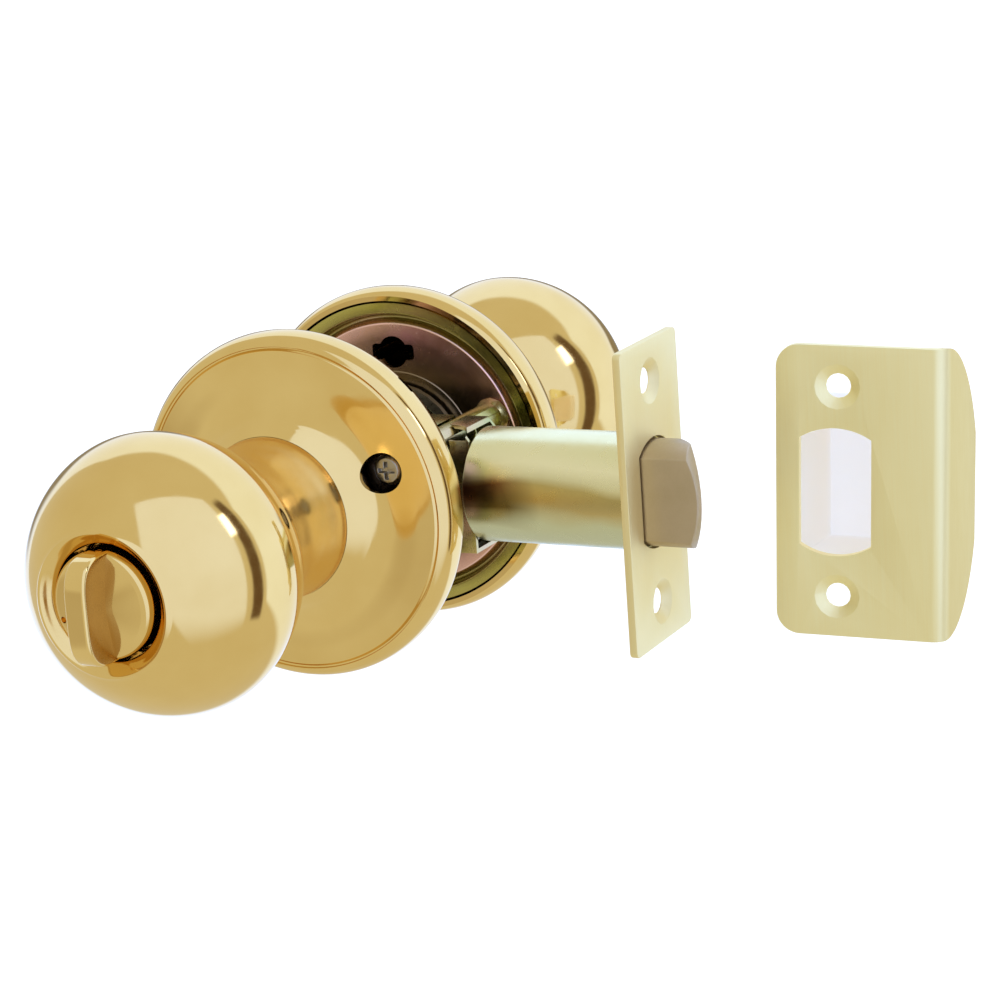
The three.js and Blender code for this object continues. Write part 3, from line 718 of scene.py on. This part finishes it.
# ---- Liners ------------------------------------------------------------------------------


LINER_BACK, LINER_FACE, LINER_STEP = 19.6, 17.75, 18.75
LOBES_UP = 20.5  # how far above the middle the lobed hole is


def liner_profile():
    """A stamped disc with a step ring near its rim and a collar in the middle."""
    collar = [(12.9, 24.5), (13.9, 24.5), (13.9, LINER_BACK)]
    outer = curve_through(
        [
            (25.6, LINER_BACK),
            (26.2, 20.0),
            (26.6, 21.1),
            (28.2, 21.2),
            (28.9, 20.0),
            (29.3, LINER_STEP),
        ],
        5,
    )
    ring = curve_through(
        [
            (28.9, LINER_FACE + 0.02),
            (28.4, 17.95),
            (28.0, 19.2),
            (27.7, 20.15),
            (27.1, 20.15),
            (26.8, 19.4),
            (26.3, 18.7),
            (25.8, 18.6),
        ],
        5,
    )
    rim = [(30.5, LINER_STEP), (30.5, LINER_FACE)]
    middle = [(16.7, 18.6), (16.5, 18.45), (12.9, 18.45)]
    return collar + outer + rim + ring + middle


def lobed_cutter(side):
    """The hole above the middle: a round one with a rounded slot across it."""
    across = bmesh.new()
    place = Matrix.Translation((0, side * 21, LOBES_UP))
    bmesh.ops.create_cube(across, matrix=place @ Matrix.Diagonal((9.2, 8.0, 3.2, 1.0)))
    bmesh.ops.bevel(
        across, geom=across.edges[:], offset=0.8, segments=4, profile=0.5, affect="EDGES"
    )
    return [across, rod(3.2, (0, side * 17, LOBES_UP), (0, side * 25, LOBES_UP), 48)]


def make_liner(side, body_name):
    """A liner with the lobed hole and two holes for the posts and screws."""
    bm = turned(liner_profile(), side, 160)
    cutters = lobed_cutter(side)
    cutters += [rod(POST_HOLE, (x, side * 15, z), (x, side * 25, z), 32) for x, z in SCREW_PLACES]
    name = f"{body_name}_rose_liner"
    bm = boolean(bm, cutters)
    finish_piece(f"{name}_stamped", bm, "fixed", LINER, [name])


# ---- Latch -------------------------------------------------------------------------------


TUBE_RADIUS, TUBE_BORE, TUBE_END = 10.9, 10.4, 61.5


def make_tube():
    """The rolled tube along +X, with a rounded edge at its open end."""
    profile = curve_through(
        [(TUBE_BORE, 28.9), (10.5, 28.72), (10.8, 28.72), (TUBE_RADIUS, 28.95)], 3
    )
    profile += [(TUBE_RADIUS, depth) for depth in (34.0, 45.0, TUBE_END)]
    profile += [(TUBE_BORE, TUBE_END), (TUBE_BORE, 45.0)]
    bm = turned(profile, OUTSIDE, 160)
    quarter = Matrix.Rotation(-math.pi / 2, 3, "Z")
    bmesh.ops.rotate(bm, cent=(0, 0, 0), matrix=quarter, verts=bm.verts)
    finish_piece("latch_tube_rolled", bm, "fixed", TUBE, ["latch_tube"])


def make_latch():
    make_tube()
    rounded("latch_faceplate", "latch_faceplate_satin", "fixed", SATIN_BRASS, 0.22)
    rounded("latch_bolt", "latch_bolt_cast", "bolt", BOLT, 0.18)
    rounded("latch_case", "latch_case_folded", "fixed", ZINC, 0.12)


def make_strike():
    rounded("strike_plate", "strike_plate_satin", "fixed", STRIKE_BRASS, 0.25)
    rounded("strike_dust_box", "strike_dust_box_moulded", "fixed", DUST, 0.3)


def make_small_parts():
    for k in (1, 2):
        rounded(f"mounting_screw_{k}", f"mounting_screw_{k}_cross", "fixed", STEEL, 0.1)
        rounded(f"screw_post_{k}", f"screw_post_{k}_turned", "fixed", ZINC, 0.1)


def dress_cad_nodes():
    """The inner pieces keep their CAD shape and take a material."""
    plated = ("inside_knob_shank", "outside_knob_shank")
    for name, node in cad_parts.items():
        if node.hide_render:
            continue
        node.data.materials.clear()
        node.data.materials.append(ZINC if name in plated else STEEL)


# ---- Studio ------------------------------------------------------------------------------

WALLS = (0.685, 0.67, 0.57)
LEAST_FACING = 0.001  # keeps the tangents of a panel finite beside and behind it

# Each panel is its colour, the azimuth of its middle and its edges, as Surroundings.panel takes.
PANELS = [
    (  # a wide light panel behind
        (0.98, 1.16, 1.6),
        176,
        [(1, 0, -2.5, -2.3), (-1, 0, -2.6, -2.4), (0, 1, -1.1, -0.85), (0, -1, -2.6, -2.1)],
    ),
    (  # a low dark band behind
        (0.30, 0.27, 0.20),
        215,
        [(1, 0, -1.2, -0.9), (-1, 0, -0.5, -0.3), (0, 1, -0.24, -0.12), (0, -1, -0.2, -0.08)],
    ),
    (  # a dull panel low at the front left
        (0.55, 0.51, 0.40),
        318,
        [(1, 0, -0.9, -0.5), (-1, 0, -0.9, -0.5), (0, 1, -0.8, -0.4), (0, -1, -0.05, 0.1)],
    ),
    (  # the large light panel at the front right
        (0.91, 1.05, 1.47),
        30,
        [
            (1, 0.337, -0.10, -0.04),
            (-1, 0, -1.74, -1.66),
            (0.25, 1, -1.15, -0.3),
            (0, -1, -3.45, -3.3),
        ],
    ),
    (  # a narrow dark strip at the right
        (0.14, 0.095, 0.06),
        99.5,
        [(1, 0, -0.10, -0.06), (-1, 0, -0.11, -0.07), (0, 1, -0.66, -0.54), (0, -1, -1.5, -1.2)],
    ),
    (  # a small bright lamp high at the right
        (3.3, 3.5, 4.8),
        92,
        [(1, 0, -0.09, -0.05), (-1, 0, -0.07, -0.04), (0, 1, 0.5, 0.58), (0, -1, -1.02, -0.94)],
    ),
]


def direction(azimuth, elevation):
    """From the object towards a place in the studio; azimuth 0 is -Y and 90 is +X."""
    a, e = math.radians(azimuth), math.radians(elevation)
    return Vector((math.sin(a) * math.cos(e), -math.cos(a) * math.cos(e), math.sin(e)))


class Surroundings:
    """The studio's walls and panels, as a node world that the metal reflects."""

    def __init__(self, walls):
        world = bpy.data.worlds.new("studio")
        bpy.context.scene.world = world
        world.use_nodes = True
        self.tree = world.node_tree
        self.background = self.tree.nodes["Background"]
        self.ray = self.tree.nodes.new("ShaderNodeTexCoord").outputs["Generated"]
        self.color = walls

    def math(self, operation, a, b):
        made = self.tree.nodes.new("ShaderNodeMath")
        made.operation = operation
        for index, value in enumerate((a, b)):
            self.feed(made.inputs[index], value)
        return made.outputs[0]

    def feed(self, socket, value):
        if isinstance(value, bpy.types.NodeSocket):
            self.tree.links.new(value, socket)
        else:
            socket.default_value = value

    def along(self, axis):
        made = self.tree.nodes.new("ShaderNodeVectorMath")
        made.operation = "DOT_PRODUCT"
        self.feed(made.inputs[0], self.ray)
        self.feed(made.inputs[1], axis)
        return made.outputs["Value"]

    def edge(self, value, start, end):
        """0 at start to 1 at end, smoothly."""
        made = self.tree.nodes.new("ShaderNodeMapRange")
        made.interpolation_type = "SMOOTHSTEP"
        self.feed(made.inputs["Value"], value)
        for key, number in (("From Min", start), ("From Max", end)):
            made.inputs[key].default_value = number
        return made.outputs["Result"]

    def panel(self, color, azimuth, edges):
        """An upright flat panel. Each edge is (a, b, from, to): it fades in as a*x + b*y goes
        from one to the other, where x and y are tangents of angles from the panel's middle."""
        facing = self.math("MAXIMUM", self.along(direction(azimuth, 0)), LEAST_FACING)
        x = self.math("DIVIDE", self.along(direction(azimuth + 90, 0)), facing)
        y = self.math("DIVIDE", self.along(Vector((0, 0, 1))), facing)
        mask = self.math("GREATER_THAN", facing, 2 * LEAST_FACING)
        for a, b, start, end in edges:
            place = self.math("ADD", self.math("MULTIPLY", x, a), self.math("MULTIPLY", y, b))
            mask = self.math("MULTIPLY", mask, self.edge(place, start, end))
        self.blend(mask, color)

    def blend(self, mask, color):
        made = self.tree.nodes.new("ShaderNodeMix")
        made.data_type = "RGBA"
        self.feed(made.inputs["Factor"], mask)
        if isinstance(self.color, bpy.types.NodeSocket):
            self.tree.links.new(self.color, made.inputs[MIX_A])
        else:
            made.inputs[MIX_A].default_value = (*self.color, 1)
        made.inputs[MIX_B].default_value = (*color, 1)
        self.color = made.outputs[MIX_COLOR]

    def finish(self):
        """The walls look white where the camera sees them directly."""
        seen = self.tree.nodes.new("ShaderNodeLightPath").outputs["Is Camera Ray"]
        self.blend(seen, (1.0, 1.0, 1.0))
        self.tree.links.new(self.color, self.background.inputs["Color"])


def make_world():
    studio = Surroundings(WALLS)
    for color, azimuth, edges in PANELS:
        studio.panel(color, azimuth, edges)
    studio.finish()


def make_floor():
    """A plain pale floor below the lowest piece."""
    bm = bmesh.new()
    size, height, steps = 6.0, -0.075, 8
    for i in range(steps + 1):
        for j in range(steps + 1):
            bm.verts.new((size * (2 * i / steps - 1), size * (2 * j / steps - 1), height))
    bm.verts.ensure_lookup_table()
    for i in range(steps):
        for j in range(steps):
            k = i * (steps + 1) + j
            bm.faces.new([bm.verts[n] for n in (k, k + steps + 1, k + steps + 2, k + 1)])
    mesh = bpy.data.meshes.new("floor")
    bm.to_mesh(mesh)
    bm.free()
    floor = bpy.data.objects.new("floor", mesh)
    bpy.context.scene.collection.objects.link(floor)
    shader = bpy.data.materials.new("floor")
    shader.use_nodes = True
    tree = shader.node_tree
    bsdf = tree.nodes["Principled BSDF"]
    bsdf.inputs["Base Color"].default_value = (0.8, 0.78, 0.74, 1)
    bsdf.inputs["Roughness"].default_value = 0.9
    bsdf.inputs["Specular IOR Level"].default_value = 0.0
    bsdf.inputs["Emission Color"].default_value = (1, 1, 1, 1)
    seen = tree.nodes.new("ShaderNodeLightPath").outputs["Is Camera Ray"]
    glow = tree.nodes.new("ShaderNodeMath")
    glow.operation = "MULTIPLY"
    glow.inputs[1].default_value = 0.5
    tree.links.new(seen, glow.inputs[0])
    tree.links.new(glow.outputs[0], bsdf.inputs["Emission Strength"])
    floor.data.materials.append(shader)
    floor.visible_glossy = False


def make_camera():
    """A camera at the front right, a little above the object and tilted by its roll."""
    azimuth, elevation, roll = 27.325, 14.375, math.radians(-4.137)
    distance, shift_right, shift_up = 0.600217, 0.027844, -0.004656
    back = direction(azimuth, elevation)
    level = Vector((math.cos(math.radians(azimuth)), math.sin(math.radians(azimuth)), 0))
    upright = back.cross(level)
    right = level * math.cos(roll) + upright * math.sin(roll)
    up = upright * math.cos(roll) - level * math.sin(roll)
    camera = bpy.data.objects.new("camera", bpy.data.cameras.new("camera"))
    bpy.context.scene.collection.objects.link(camera)
    camera.data.sensor_width = 36.0
    camera.data.lens = 111.664
    camera.data.clip_start = 0.01
    place = back * distance + right * shift_right + up * shift_up
    turn = Matrix((right, up, back)).transposed().to_4x4()
    camera.matrix_world = Matrix.Translation(place) @ turn
    bpy.context.scene.camera = camera


make_camera()
make_world()
make_floor()
make_rose(INSIDE, "inside")
make_rose(OUTSIDE, "outside")
make_knobs()
make_liner(INSIDE, "inside")
make_liner(OUTSIDE, "outside")
make_latch()
make_strike()
make_button()
make_small_parts()
dress_cad_nodes()
bpy.context.scene.view_settings.view_transform = "Standard"
